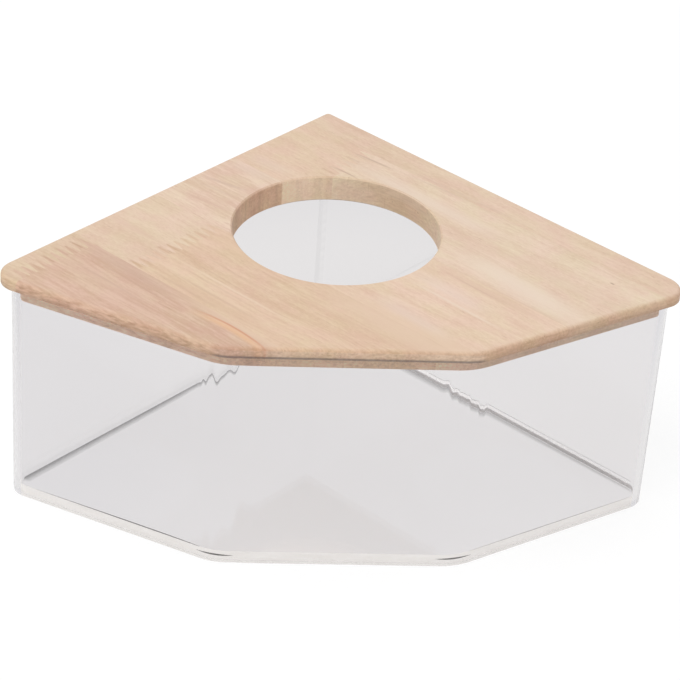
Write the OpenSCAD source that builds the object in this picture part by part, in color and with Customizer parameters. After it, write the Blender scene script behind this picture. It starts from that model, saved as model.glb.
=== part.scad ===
// Corner sand bath for a small pet: a clear acrylic tank with five upright facets, closed by a loose
// lid of finger-jointed, edge-glued wood staves with a round entrance. The lid is rebated underneath,
// so that its lip drops inside the walls and its flange rests on their top edge.
// Plan: the back is a right angle that fits a cage corner, the front is three facets. Front is -Y.

/* [Tank] */
// Length of each straight back side of the tank, measured to the sharp corners
back_side = 270.6; // [235:0.1:310]
// Depth of the tank from its sharp back corner to its front face
tank_depth = 258.3; // [240:0.1:285]
// Width of the front facet, measured to the sharp corners
front_w = 137.4; // [110:0.1:160]
// Height of the walls, from the table to their top edge
wall_h = 140.5; // [90:0.5:200]
// Thickness of the bent wall sheet
wall_t = 4; // [2:0.5:5]
// Thickness of the base plate
base_t = 6; // [3:0.5:10]
// Outer radius of the two gentle bends at the front
front_bend_r = 38; // [12:1:60]
// Outer radius of the two tight bends at the left and right tips
tip_bend_r = 12; // [8:0.5:18]
// Width of the glue line round the base plate and at the back corner of the wall sheet
glue_line = 0.1; // [0.05:0.05:0.3]

/* [Lid] */
// Thickness of the lid board, lip included
lid_t = 16; // [13:0.5:22]
// Depth of the rebate under the lid, which leaves the lip
lip_d = 9.5; // [5:0.5:9.5]
// Play between the lip and the inside of the walls
lip_gap = 0.8; // [0.4:0.1:1.5]
// How far the flange stands out past the walls
overhang = 4; // [2:0.5:10]
// Plan radius of the back corner of the lid
lid_back_r = 3; // [3:0.5:12]
// Plan radius of the left and right tips of the lid
lid_tip_r = 13; // [5:0.5:22]
// Plan radius of the two front corners of the lid
lid_front_r = 25; // [5:1:60]
// Radius of the rounded upper edge of the lid
edge_round = 2.5; // [1:0.5:2.5]

/* [Entrance] */
// Diameter of the round entrance
entrance_d = 120; // [70:1:140]
// Distance of the entrance centre in front of the lid's sharp back corner
entrance_setback = 141.5; // [130:0.5:150]
// Sideways place of the entrance centre, + to the right
entrance_x = -1.5; // [-6:0.5:6]
// Width of the eased edge round the entrance, above and below
entrance_ease = 0.8; // [0.4:0.1:1.5]

/* [Staves] */
// Width of a full stave
stave_w = 65; // [55:1:75]
// Width of the narrow stave along the back right edge
edge_stave_w = 20; // [12:1:35]
// Distance of the second stave's finger joint from the back left edge
joint_2 = 52; // [30:1:60]
// Distance of the fourth stave's finger joint from the back left edge
joint_4 = 51; // [30:1:80]
// Distance of the fifth stave's finger joint from the back left edge
joint_5 = 14; // [10:1:60]
// Length of the fingers
finger_l = 10; // [6:0.5:14]
// Width of a finger's blunt tip
finger_tip = 0.8; // [0.4:0.1:1.5]
// Fingers across a full stave
finger_count = 12; // [6:1:14]

/* [Hidden] */
$fn = 96;

// Angle of the back corner, and half of it as a factor on a length along either back side
back_angle = 90;
half_back = sin(back_angle / 2);

// Sharp plan corners of the tank, counter-clockwise from the back corner
tank_corners = [
    [0, 0],
    [-back_side * half_back, -back_side * half_back],
    [-front_w / 2, -tank_depth],
    [front_w / 2, -tank_depth],
    [back_side * half_back, -back_side * half_back],
];

// Sharp plan corners of the wall's inside, the base, the lip and the flange, all parallel to the tank
inner_corners = parallel_corners(tank_corners, wall_t);
base_corners = parallel_corners(tank_corners, wall_t + glue_line);
lip_corners = parallel_corners(tank_corners, wall_t + lip_gap);
lid_corners = parallel_corners(tank_corners, -overhang);

// Corner radii in the same order: back, left tip, front left, front right, right tip
wall_radii = [0, tip_bend_r, front_bend_r, front_bend_r, tip_bend_r];
inner_radii = [for (r = wall_radii) max(r - wall_t, 0)];
base_radii = [for (r = inner_radii) max(r - glue_line, 0)];
lip_radii = [for (r = inner_radii) max(r - lip_gap, 0)];
lid_radii = [lid_back_r, lid_tip_r, lid_front_r, lid_front_r, lid_tip_r];

// Levels of the lid
flange_t = lid_t - lip_d;
lip_z = wall_h - lip_d;
lid_top = wall_h + flange_t;

// The origin is under the middle of the whole object's box, so the plan moves back by half its depth
lid_back_y = rounding_centre(lid_corners, lid_radii, 0)[1] + lid_back_r;
lid_front_y = lid_corners[2][1];
plan_shift = [0, -(lid_back_y + lid_front_y) / 2, 0];

// Cutting solids reach this far past what they cut
past = 20;

// Centre of the entrance on the plan
entrance_at = [entrance_x, lid_corners[0][1] - entrance_setback];

// Stave plan: u runs from the lid's back corner along the back left edge, v along the back right edge
stave_turn = 180 + back_angle / 2;
lid_side = norm(lid_corners[1] - lid_corners[0]);
entrance_uv = stave_plan(entrance_at);
finger_pitch = stave_w / finger_count;
// Where the staves start, and last where the fifth one ends, clear of the left tip
stave_u = [0, for (i = [0:3]) edge_stave_w + i * stave_w, lid_side + past];

// Left tip of the lid on the stave plan: centre and end of its arc, and where the facet after it ends
tip_centre = stave_plan(rounding_centre(lid_corners, lid_radii, 1));
tip_end = stave_plan(arc_end(lid_corners, lid_radii, 1));
facet_end = stave_plan(arc_start(lid_corners, lid_radii, 2));

// A round is this much fuller than a true tangent arc, so that it meets the flat at a clean edge
arc_pass = 0.005;
straight_pass = 0.03;
corner_pass = 0.01;

acrylic = [0.86, 0.90, 0.92, 0.4];
cream_wood = [0.90, 0.80, 0.67];
tan_wood = [0.87, 0.74, 0.60];
pink_wood = [0.84, 0.69, 0.57];

// Plan geometry

// Direction in degrees from one plan point to the next
function heading(p, q) = atan2(q[1] - p[1], q[0] - p[0]);

// Corner before and after corner i of a closed outline
function before(c, i) = c[(i + len(c) - 1) % len(c)];
function after(c, i) = c[(i + 1) % len(c)];

// Unit normal into the outline, left of the way from p to q
function inward(p, q) = [-sin(heading(p, q)), cos(heading(p, q))];

// Corner i moved so that both its edges shift inwards by d
function shifted_corner(c, i, d) =
    let (a = inward(before(c, i), c[i]), b = inward(c[i], after(c, i)))
    c[i] + (a + b) * d / (1 + a * b);

// Outline parallel to c, at the distance d inside it
function parallel_corners(c, d) = [for (i = [0:len(c) - 1]) shifted_corner(c, i, d)];

// Centre of the arc that rounds corner i, and the two points where it meets the edges
function rounding_centre(c, r, i) = shifted_corner(c, i, r[i]);
function arc_start(c, r, i) = rounding_centre(c, r, i) - r[i] * inward(before(c, i), c[i]);
function arc_end(c, r, i) = rounding_centre(c, r, i) - r[i] * inward(c[i], after(c, i));

// Angle where the arc at corner i starts, and the angle that it turns through
function arc_from(c, i) = heading(before(c, i), c[i]) - 90;
function arc_turn(c, i) =
    (heading(c[i], after(c, i)) - heading(before(c, i), c[i]) + 720) % 360;

// Solids on the plan

// Wedge outside the arc that rounds corner i, cut away over the height h
module corner_waste(c, r, i, h) {
    difference() {
        translate([0, 0, -past])
            linear_extrude(h + 2 * past)
                polygon([arc_start(c, r, i), shifted_corner(c, i, -past), arc_end(c, r, i)]);
        translate(rounding_centre(c, r, i))
            translate([0, 0, -2 * past])
                cylinder(r = r[i] + arc_pass, h = h + 4 * past);
    }
}

// Flat plate with rounded plan corners
module rounded_plate(c, r, h) {
    difference() {
        linear_extrude(h) polygon(c);
        for (i = [0:len(c) - 1])
            if (r[i] > 0)
                corner_waste(c, r, i, h);
    }
}

// Profile of what a quarter round takes off an edge: the outer face is x = 0, the top is y = 0
module round_waste(round, pass) {
    difference() {
        translate([-round, -round]) square(round + past);
        translate([-round, -round]) circle(round + pass);
    }
}

// Waste along the straight upper edge from one plan point to the next, run past both ends
module edge_waste(from, to, round) {
    translate(to)
        rotate([0, 0, heading(from, to)])
            translate([past, 0, 0])
                rotate([90, 0, -90])
                    linear_extrude(norm(to - from) + 2 * past)
                        round_waste(round, straight_pass);
}

// Board with rounded plan corners and a rounded upper edge
module rounded_board(c, r, h, round) {
    difference() {
        rounded_plate(c, r, h);
        translate([0, 0, h])
            for (i = [0:len(c) - 1]) {
                edge_waste(arc_end(c, r, i), arc_start(c, r, (i + 1) % len(c)), round);
                translate(rounding_centre(c, r, i))
                    rotate([0, 0, arc_from(c, i)])
                        rotate_extrude(angle = arc_turn(c, i))
                            translate([r[i], 0]) round_waste(round, corner_pass);
            }
    }
}

// Tank

// One sheet, bent at the two tips and the two front corners. Its ends are mitred and meet at the back
// corner, either side of the glue line.
module wall_sheet() {
    color(acrylic)
        translate(plan_shift)
            difference() {
                rounded_plate(tank_corners, wall_radii, wall_h);
                translate([0, 0, -past])
                    rounded_plate(inner_corners, inner_radii, wall_h + 2 * past);
                translate([-glue_line / 2, inner_corners[0][1] - past, -past])
                    cube([glue_line, 2 * past + wall_t, wall_h + 2 * past]);
            }
}

// Plate that fills the ring of walls, flush with their lower edge
module base_plate() {
    color(acrylic)
        translate(plan_shift)
            rounded_plate(base_corners, base_radii, base_t);
}

// Lid

// Entrance bored through the lid, with its two edges eased
module entrance() {
    r = entrance_d / 2;
    e = entrance_ease;
    translate(entrance_at) {
        translate([0, 0, lip_z - past]) cylinder(r = r, h = lid_t + 2 * past);
        translate([0, 0, lid_top - 2 * e]) cylinder(r1 = r - e, r2 = r + 2 * e, h = 3 * e);
        translate([0, 0, lip_z - e]) cylinder(r1 = r + 2 * e, r2 = r - e, h = 3 * e);
    }
}

// The whole glued board after shaping: flange, lip and entrance
module lid_board() {
    difference() {
        union() {
            translate([0, 0, wall_h]) rounded_board(lid_corners, lid_radii, flange_t, edge_round);
            translate([0, 0, lip_z]) rounded_plate(lip_corners, lip_radii, lip_d + flange_t / 2);
        }
        entrance();
    }
}

// Plan point in the stave plan's u and v
function stave_plan(p) =
    let (d = lid_corners[0] - p)
    [(d[0] + d[1]) * half_back, (d[1] - d[0]) * half_back];

// How far the lid reaches along u at the distance v, at its left tip and along the facet after it
function lid_reach(v) =
    v < tip_end[1]
        ? tip_centre[0] + sqrt(lid_tip_r * lid_tip_r - pow(v - tip_centre[1], 2))
        : tip_end[0] + (facet_end[0] - tip_end[0]) * (v - tip_end[1]) / (facet_end[1] - tip_end[1]);

// Half of the width along u that the entrance takes from fingers about the distance v, less than
// nothing where it passes them by
function entrance_half(v) =
    let (
        reach = entrance_d / 2 + entrance_ease,
        rise = max(abs(entrance_uv[1] - v) - finger_l / 2, 0)
    )
    rise < reach ? sqrt(reach * reach - rise * rise) : -finger_pitch;

// Whether a finger that starts at u lies whole in the wood
function finger_fits(u, v) =
    abs(u + finger_pitch / 2 - entrance_uv[0]) > entrance_half(v) + finger_pitch / 2
    && u + finger_pitch < min(lid_reach(v - finger_l / 2), lid_reach(v + finger_l / 2));

// Outline of one finger of the front block, from its root at u to its blunt tip and back
function finger(u, v) =
    let (m = u + finger_pitch / 2, t = finger_tip / 2)
    [
        [u + t, v + finger_l / 2],
        [m - t, v - finger_l / 2],
        [m + t, v - finger_l / 2],
        [u + finger_pitch - t, v + finger_l / 2],
    ];

// Finger joint as a line across stave i about the distance v, straight where no whole finger fits
function joint_line(i, v) = [
    [stave_u[i], v + finger_l / 2],
    for (k = [0:finger_count - 1])
        let (u = stave_u[i] + k * finger_pitch)
        if (finger_fits(u, v)) each finger(u, v),
    [stave_u[i + 1], v + finger_l / 2],
];

function reversed(list) = [for (i = [len(list) - 1:-1:0]) list[i]];

// Plan outline of the block behind a joint line, and of the one in front of it
function block_behind(line) =
    concat([[line[0][0], -past], [line[len(line) - 1][0], -past]], reversed(line));
function block_before(line) =
    concat(line, [[line[len(line) - 1][0], lid_side + past], [line[0][0], lid_side + past]]);

// Straight line across stave i at the distance v
function straight_line(i, v) = [[stave_u[i], v], [stave_u[i + 1], v]];

// The part of the board that one block makes up
module lid_block(outline) {
    translate(plan_shift)
        intersection() {
            lid_board();
            translate([0, lid_corners[0][1], lip_z - past])
                rotate([0, 0, stave_turn])
                    linear_extrude(lid_t + 2 * past)
                        polygon(outline);
        }
}

// Narrow stave along the back right edge, in one length
module lid_stave_1() {
    color(tan_wood)
        lid_block([
            [-past, -past],
            [stave_u[1], -past],
            [stave_u[1], lid_side + past],
            [-past, lid_side + past],
        ]);
}

// Second stave, finger-jointed behind the entrance
module lid_stave_2_back() {
    color(tan_wood) lid_block(block_behind(joint_line(1, joint_2)));
}

module lid_stave_2_front() {
    color(cream_wood) lid_block(block_before(joint_line(1, joint_2)));
}

// Third stave, which the entrance cuts in two
module lid_stave_3_back() {
    color(tan_wood) lid_block(block_behind(straight_line(2, entrance_uv[1])));
}

module lid_stave_3_front() {
    color(pink_wood) lid_block(block_before(straight_line(2, entrance_uv[1])));
}

// Fourth stave, finger-jointed left of the entrance
module lid_stave_4_back() {
    color(cream_wood) lid_block(block_behind(joint_line(3, joint_4)));
}

module lid_stave_4_front() {
    color(tan_wood) lid_block(block_before(joint_line(3, joint_4)));
}

// Fifth stave, at the left tip, finger-jointed close to the back left edge
module lid_stave_5_back() {
    color(cream_wood) lid_block(block_behind(joint_line(4, joint_5)));
}

module lid_stave_5_front() {
    color(pink_wood) lid_block(block_before(joint_line(4, joint_5)));
}

base_plate();
wall_sheet();
lid_stave_1();
lid_stave_2_back();
lid_stave_2_front();
lid_stave_3_back();
lid_stave_3_front();
lid_stave_4_back();
lid_stave_4_front();
lid_stave_5_back();
lid_stave_5_front();
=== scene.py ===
"""Looks of a corner sand bath for a small pet: a clear acrylic tank under a finger-jointed wooden lid.

Sizes in the classes are millimetres in the part's own frame, +Z up and the front towards -Y.
Meshes are handed over in metres. Colours given in eight bits are turned into linear ones.
"""

import logging
import math
from dataclasses import dataclass
from enum import Enum
from typing import Any, ClassVar, Optional, Union

import bpy
import numpy as np
from mathutils import Matrix, Vector


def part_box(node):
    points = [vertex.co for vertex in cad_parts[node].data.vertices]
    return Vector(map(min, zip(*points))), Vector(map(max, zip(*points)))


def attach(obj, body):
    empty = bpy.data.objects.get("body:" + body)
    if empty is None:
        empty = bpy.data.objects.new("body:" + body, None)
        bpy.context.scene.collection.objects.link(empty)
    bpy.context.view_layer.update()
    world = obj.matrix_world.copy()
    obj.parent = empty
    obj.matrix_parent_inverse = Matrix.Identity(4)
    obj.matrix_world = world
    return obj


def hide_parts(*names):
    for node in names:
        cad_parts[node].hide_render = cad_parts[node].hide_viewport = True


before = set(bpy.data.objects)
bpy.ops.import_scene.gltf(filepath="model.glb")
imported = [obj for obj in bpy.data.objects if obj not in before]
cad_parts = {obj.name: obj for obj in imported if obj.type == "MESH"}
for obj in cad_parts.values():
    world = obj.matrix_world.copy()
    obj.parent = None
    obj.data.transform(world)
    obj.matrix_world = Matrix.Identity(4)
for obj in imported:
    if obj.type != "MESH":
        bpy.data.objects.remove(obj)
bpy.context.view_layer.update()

LOG = logging.getLogger("sand_bath")
MM = 0.001
Array = np.ndarray
Colour = tuple[float, float, float, float]
Rgb8 = tuple[int, int, int]
Point = tuple[float, float, float]
WHITE: Colour = (1.0, 1.0, 1.0, 1.0)


def linear(rgb: Rgb8) -> Colour:
    """Turn an eight-bit display colour into a linear one.

    Args:
        rgb: red, green and blue from 0 to 255.

    Returns:
        The linear colour with full alpha, by the sRGB curve.
    """
    share = np.array(rgb) / 255.0
    value = np.where(share <= 0.04045, share / 12.92, ((share + 0.055) / 1.055) ** 2.4)
    return (*value.tolist(), 1.0)


def shaded(colour: Colour, factors: Point) -> Colour:
    """Multiply a colour's red, green and blue by three factors."""
    return (*(c * f for c, f in zip(colour[:3], factors)), 1.0)


class Slot(Enum):
    """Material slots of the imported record."""

    ACRYLIC = "clear_acrylic"
    CREAM = "cream_wood"
    TAN = "tan_wood"
    PINK = "pink_wood"


class Body(Enum):
    """Bodies that the pieces ride on."""

    TANK = "tank"
    LID = "lid"


class Signal:
    """A shader socket that takes part in Python arithmetic: each operator adds a Math node."""

    def __init__(self, graph: "Graph", socket: Any) -> None:
        """Keep the socket and the graph that it belongs to."""
        self.graph = graph
        self.socket = socket

    def other(self, output: Union[int, str]) -> "Signal":
        """Another output of the same node."""
        return Signal(self.graph, self.socket.node.outputs[output])

    def __add__(self, value: "Value") -> "Signal":
        """Sum with a number or a signal."""
        return self.graph.math("ADD", self, value)

    def __sub__(self, value: "Value") -> "Signal":
        """Difference, this minus the other."""
        return self.graph.math("SUBTRACT", self, value)

    def __rsub__(self, value: "Value") -> "Signal":
        """Difference, the other minus this."""
        return self.graph.math("SUBTRACT", value, self)

    def __mul__(self, value: "Value") -> "Signal":
        """Product with a number or a signal."""
        return self.graph.math("MULTIPLY", self, value)

    def __truediv__(self, value: "Value") -> "Signal":
        """Quotient, this by the other."""
        return self.graph.math("DIVIDE", self, value)

    def __abs__(self) -> "Signal":
        """Absolute value."""
        return self.graph.math("ABSOLUTE", self)

    def __mod__(self, value: "Value") -> "Signal":
        """Remainder that stays positive."""
        return self.graph.math("FLOORED_MODULO", self, value)

    __radd__ = __add__
    __rmul__ = __mul__


Value = Union[Signal, float, tuple]


class Graph:
    """Node tree of one material or world, filled by expressions on signals."""

    def __init__(self, owner: Union[bpy.types.Material, bpy.types.World]) -> None:
        """Empty the owner's node tree.

        Args:
            owner: the material or world whose nodes are made.
        """
        owner.use_nodes = True
        self.tree = owner.node_tree
        self.tree.nodes.clear()

    def node(
        self,
        kind: str,
        settings: Optional[dict[str, Any]] = None,
        inputs: Optional[dict[Union[int, str], Value]] = None,
        output: Union[int, str] = 0,
    ) -> Optional[Signal]:
        """Add one node.

        Args:
            kind: the node's type.
            settings: its properties, set first; "stops" holds a ramp's (place, colour) pairs.
            inputs: numbers, tuples or signals by the socket's name or place.
            output: the output that is handed back.

        Returns:
            The output as a signal, or nothing where the node has none.
        """
        made = self.tree.nodes.new(kind)
        for name, value in (settings or {}).items():
            if name == "stops":
                self._set_stops(made.color_ramp, value)
            else:
                setattr(made, name, value)
        for key, value in (inputs or {}).items():
            if isinstance(value, Signal):
                self.tree.links.new(value.socket, made.inputs[key])
            else:
                made.inputs[key].default_value = value
        return Signal(self, made.outputs[output]) if len(made.outputs) else None

    @staticmethod
    def _set_stops(ramp: bpy.types.ColorRamp, stops: list[tuple[float, Colour]]) -> None:
        """Give a colour ramp its stops.

        Args:
            ramp: the ramp, which starts with two stops.
            stops: place from 0 to 1 and colour of each.
        """
        while len(ramp.elements) < len(stops):
            ramp.elements.new(0.5)
        for element, (place, colour) in zip(ramp.elements, stops):
            element.position = place
            element.color = colour

    def math(self, operation: str, a: Value, b: Value = 0.0) -> Signal:
        """Add one Math node on one or two values."""
        return self.node("ShaderNodeMath", {"operation": operation}, {0: a, 1: b})

    def step(self, value: Signal, low: float, high: float) -> Signal:
        """Smooth step from 0 at low to 1 at high."""
        settings = {"interpolation_type": "SMOOTHSTEP"}
        return self.node("ShaderNodeMapRange", settings, {"Value": value, "From Min": low, "From Max": high})

    def band(self, value: Signal, low: float, high: float, soft: float) -> Signal:
        """Smooth window that is 1 between low and high and fades over soft at each end."""
        return self.step(value, low - soft, low + soft) * (1 - self.step(value, high - soft, high + soft))

    def mix(self, factor: Value, a: Value, b: Value, blend: str = "MIX") -> Signal:
        """Mix two colours with a Mix node.

        Args:
            factor: 0 gives a and 1 gives b, or the blend's strength.
            a: first colour.
            b: second colour.
            blend: blend type of the node.

        Returns:
            The mixed colour.
        """
        settings = {"data_type": "RGBA", "blend_type": blend}
        return self.node("ShaderNodeMix", settings, {0: factor, 6: a, 7: b}, 2)

    def place(self, scale: Point, turn: float = 0.0, shift: Point = (0.0, 0.0, 0.0)) -> Signal:
        """Object coordinates scaled, turned about Z and shifted, in that order."""
        where = self.node("ShaderNodeTexCoord", output="Object")
        return self.mapped(where, scale, turn, shift)

    def mapped(
        self, vector: Signal, scale: Point, turn: float = 0.0, shift: Point = (0.0, 0.0, 0.0)
    ) -> Signal:
        """A vector scaled, turned about Z and shifted, in that order."""
        inputs = {"Vector": vector, "Location": shift, "Rotation": (0.0, 0.0, turn), "Scale": scale}
        return self.node("ShaderNodeMapping", {}, inputs)

    def noise(self, vector: Signal, scale: Point, shift: Point, detail: float = 2.0) -> Signal:
        """Noise about 0, from -0.5 to 0.5, on a stretched and shifted vector."""
        inputs = {"Vector": self.mapped(vector, scale, 0.0, shift), "Scale": 1.0, "Detail": detail}
        return self.node("ShaderNodeTexNoise", {}, inputs) - 0.5

    def ray(self, kind: str) -> Signal:
        """1 for rays of the kind that a Light Path output names."""
        return self.node("ShaderNodeLightPath", output=kind)

    def principled(self, inputs: dict[str, Value]) -> Signal:
        """Principled shader with the given sockets."""
        return self.node("ShaderNodeBsdfPrincipled", {}, inputs)

    def mix_shader(self, factor: Value, a: Signal, b: Signal) -> Signal:
        """Mix of two shaders."""
        return self.node("ShaderNodeMixShader", {}, {0: factor, 1: a, 2: b})

    def surface(self, shader: Signal) -> None:
        """Join a shader to the material's output."""
        self.node("ShaderNodeOutputMaterial", {}, {"Surface": shader})


def new_material(name: str) -> tuple[bpy.types.Material, Graph]:
    """Make an empty node material and the graph to fill it."""
    material = bpy.data.materials.new(name)
    return material, Graph(material)


@dataclass(frozen=True)
class AcrylicFinish:
    """Clear cast acrylic sheet with polished faces, which lets lamps through."""

    name: str = "clear_acrylic"
    tint: Colour = (0.992, 0.988, 0.992, 1.0)
    roughness: float = 0.0
    ior: float = 1.49

    def shader(self, graph: Graph) -> Signal:
        """Glass that is plainly transparent to shadow rays.

        Args:
            graph: the material's graph.

        Returns:
            The shader.
        """
        sheet = graph.principled({
            "Base Color": self.tint,
            "Roughness": self.roughness,
            "IOR": self.ior,
            "Transmission Weight": 1.0,
        })
        clear = graph.node("ShaderNodeBsdfTransparent", {}, {"Color": self.tint})
        return graph.mix_shader(graph.ray("Is Shadow Ray"), sheet, clear)

    def build(self) -> bpy.types.Material:
        """Make the material of the bare sheet.

        Returns:
            The material.
        """
        material, graph = new_material(self.name)
        graph.surface(self.shader(graph))
        return material

    def joined(self) -> bpy.types.Material:
        """Make the material of a joint that clear cement fills, whose faces light passes straight.

        Returns:
            The material.
        """
        material, graph = new_material(self.name + "_joined")
        graph.surface(graph.node("ShaderNodeBsdfTransparent", {}, {"Color": WHITE}))
        return material


@dataclass(frozen=True)
class RimFinish:
    """Sawn rim of the acrylic base plate: frosted, with fine saw marks and a painted glow that stands for
    light piped to it.
    """

    name: str
    pale: Rgb8
    dull: Rgb8
    matt: float = 1.0
    glow: float = 0.0
    roughness: float = 0.5
    mark_depth: float = 0.05

    def build(self) -> bpy.types.Material:
        """Frosted plastic whose tone drifts along the edge, with upright saw marks in the bump and a painted
        glow in the same tone.

        Returns:
            The material.
        """
        material, graph = new_material(self.name)
        place = graph.place((1 / MM,) * 3)
        drift = graph.noise(place, (0.05, 0.05, 0.3), (3.0, 1.0, 2.0), 3.0)
        speck = graph.noise(place, (0.5, 0.5, 0.5), (2.0, 6.0, 1.0), 2.0)
        marks = graph.noise(place, (1.4, 1.4, 0.08), (7.0, 5.0, 1.0), 1.0)
        tone = graph.mix(drift * 1.6 + speck + 0.5, linear(self.pale), linear(self.dull))
        bump = graph.node("ShaderNodeBump", {}, {"Distance": self.mark_depth * MM, "Height": marks})
        graph.surface(graph.principled({
            "Base Color": graph.mix(1.0, tone, (self.matt,) * 3 + (1.0,), "MULTIPLY"),
            "Roughness": self.roughness,
            "Emission Color": tone,
            "Emission Strength": self.glow,
            "Normal": bump,
        }))
        return material


@dataclass(frozen=True)
class PaintedLightFinish:
    """Clear acrylic that a share attribute mixes with a flat tone: a painted contact shadow under the base
    plate where the tone is dull grey, a painted glow where it is pale and glows.
    """

    attribute: ClassVar[str] = "painted_light"
    acrylic: AcrylicFinish
    name: str = "painted_contact_shadow"
    tone: Rgb8 = (96, 93, 92)
    glow: float = 0.0
    patchiness: float = 0.5
    roughness: float = 0.6

    def build(self) -> bpy.types.Material:
        """Mix of clear sheet and a flat tone, patchy along the edge: dull grey for the painted shadow, pale
        and glowing for the painted glow.

        Returns:
            The material.
        """
        material, graph = new_material(self.name)
        share = graph.node("ShaderNodeAttribute", {"attribute_name": self.attribute}, output="Fac")
        place = graph.place((1 / MM,) * 3)
        patches = graph.noise(place, (0.06, 0.06, 0.06), (1.0, 4.0, 2.0), 3.0) * self.patchiness + 1
        grey = graph.principled({
            "Base Color": linear(self.tone),
            "Roughness": self.roughness,
            "Emission Color": linear(self.tone),
            "Emission Strength": self.glow,
        })
        graph.surface(graph.mix_shader(share * patches, self.acrylic.shader(graph), grey))
        return material


@dataclass(frozen=True)
class CementFinish:
    """Dried acrylic cement: a milky veil with a painted glow, or dark where it is trapped in a joint; the
    dark finish also serves as painted shade in the gaps of the front bends.
    """

    name: str
    tone: Rgb8
    cover: float
    roughness: float
    glow: float = 0.0
    drift: float = 0.2
    ior: float = 1.3

    def build(self) -> bpy.types.Material:
        """Plastic whose tone and cover drift along the seam.

        Returns:
            The material.
        """
        material, graph = new_material(self.name)
        place = graph.place((1 / MM,) * 3)
        drift = graph.noise(place, (0.06, 0.06, 0.06), (1.0, 4.0, 2.0), 3.0)
        pale = linear(self.tone)
        tone = graph.mix(drift + 0.5, pale, shaded(pale, (1 - self.drift,) * 3))
        graph.surface(graph.principled({
            "Base Color": tone,
            "Roughness": self.roughness,
            "IOR": self.ior,
            "Emission Color": tone,
            "Emission Strength": self.glow,
            "Alpha": drift * self.drift + self.cover,
        }))
        return material


@dataclass(frozen=True)
class PlanOutline:
    """Plan polygon with rounded corners, counter-clockwise from the back corner."""

    corners: Array
    radii: Array

    def headings(self) -> tuple[Array, Array]:
        """Find the unit directions of the edges at each corner.

        Returns:
            Direction of the edge into each corner, and of the edge out of it.
        """
        into = self.corners - np.roll(self.corners, 1, axis=0)
        into = into / np.linalg.norm(into, axis=1, keepdims=True)
        return into, np.roll(into, -1, axis=0)

    def mitres(self) -> Array:
        """Find the vector at each corner that moves both its edges inwards by one.

        With a and b the inward normals of the two edges, it is (a + b) / (1 + a.b).

        Returns:
            One vector for each corner.
        """
        into, out = self.headings()
        a = left_of(into)
        b = left_of(out)
        return (a + b) / (1 + np.sum(a * b, axis=1, keepdims=True))

    def parallel(self, inset: float) -> "PlanOutline":
        """Outline at a distance inside this one, with its arcs on the same centres."""
        return PlanOutline(self.corners + self.mitres() * inset, np.maximum(self.radii - inset, 0))

    def path(self, step: float, arc_steps: int, skip: float = 0.0) -> "PlanPath":
        """Sample the outline once round, starting and ending at the sharp back corner.

        A straight run has points at most one step apart. The arc at a corner has its centre at the
        corner plus radius times mitre, and turns from the normal of one edge to that of the next.

        Args:
            step: longest distance between points on a straight run.
            arc_steps: spans in one arc.
            skip: distance from the back corner with no other point, so that insets don't cross there.

        Returns:
            The points with the inward vector at each, and the stretch of each bend.
        """
        into, out = self.headings()
        mitre = self.mitres()
        centre = self.corners + mitre * self.radii[:, None]
        points = [self.corners[:1]]
        normals = [mitre[:1]]
        bends = []
        count = len(self.corners)
        for i in range(1, count + 1):
            k = i % count
            goal = centre[k] - left_of(into)[k] * self.radii[k]
            run = points[-1][-1]
            length = np.linalg.norm(goal - run)
            share = np.linspace(0, 1, max(int(np.ceil(length / step)), 1) + 1)[1:]
            near_first = (i == 1) & (share * length < skip)
            near_last = (k == 0) & (share < 1) & ((1 - share) * length < skip)
            share = share[~near_first & ~near_last][:, None]
            points.append(run + (goal - run) * share)
            normals.append(np.repeat(left_of(into)[k:k + 1], len(share), axis=0))
            if k == 0:
                break
            start = np.arctan2(into[k, 1], into[k, 0]) - np.pi / 2
            turn = (np.arctan2(out[k, 1], out[k, 0]) - start - np.pi / 2) % (2 * np.pi)
            angle = start + turn * np.linspace(0, 1, arc_steps + 1)[1:]
            ray = np.stack([np.cos(angle), np.sin(angle)], axis=1)
            so_far = np.concatenate(points)
            begin = path_length(so_far)[-1]
            bends.append((begin, begin + turn * self.radii[k]))
            points.append(centre[k] + ray * self.radii[k])
            normals.append(-ray)
        normals[-1][-1] = mitre[0]
        return PlanPath(np.concatenate(points), np.concatenate(normals), tuple(bends))


@dataclass(frozen=True)
class PlanPath:
    """Points once round an outline, the inward vector at each, and where its bends start and end."""

    points: Array
    inward: Array
    bends: tuple[tuple[float, float], ...]

    def along(self) -> Array:
        """Distance of each point from the first one."""
        return path_length(self.points)

    def stretch(self, start: float, end: float, step: float) -> "PlanPath":
        """Take the part of the path between two distances along it, in even steps.

        Args:
            start: where the part starts.
            end: where it ends.
            step: distance between points.

        Returns:
            The part, without bends.
        """
        where = np.linspace(start, end, max(int((end - start) / step), 4))
        run = self.along()
        plan = np.concatenate([self.points, self.inward], axis=1)
        part = np.stack([np.interp(where, run, column) for column in plan.T], axis=1)
        return PlanPath(part[:, :2], part[:, 2:], ())

    def sweep(self, inset: Array, level: Array) -> Array:
        """Carry a profile along the path: point plus inset times inward vector, at the given level.

        Args:
            inset: distance inside the path, one row for the profile or one row for each path point.
            level: height, in the same form.

        Returns:
            Vertices as an array of path points by profile points by three.
        """
        shape = (len(self.points), np.shape(inset)[-1])
        inset = np.broadcast_to(inset, shape)
        level = np.broadcast_to(level, shape)
        plan = self.points[:, None, :] + self.inward[:, None, :] * inset[..., None]
        return np.concatenate([plan, level[..., None]], axis=2)


def left_of(direction: Array) -> Array:
    """Directions turned a quarter turn to the left."""
    return np.stack([-direction[..., 1], direction[..., 0]], axis=-1)


def path_length(points: Array) -> Array:
    """Distance along a polyline from its first point to each point."""
    return np.concatenate([[0.0], np.cumsum(np.linalg.norm(np.diff(points, axis=0), axis=1))])


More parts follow.
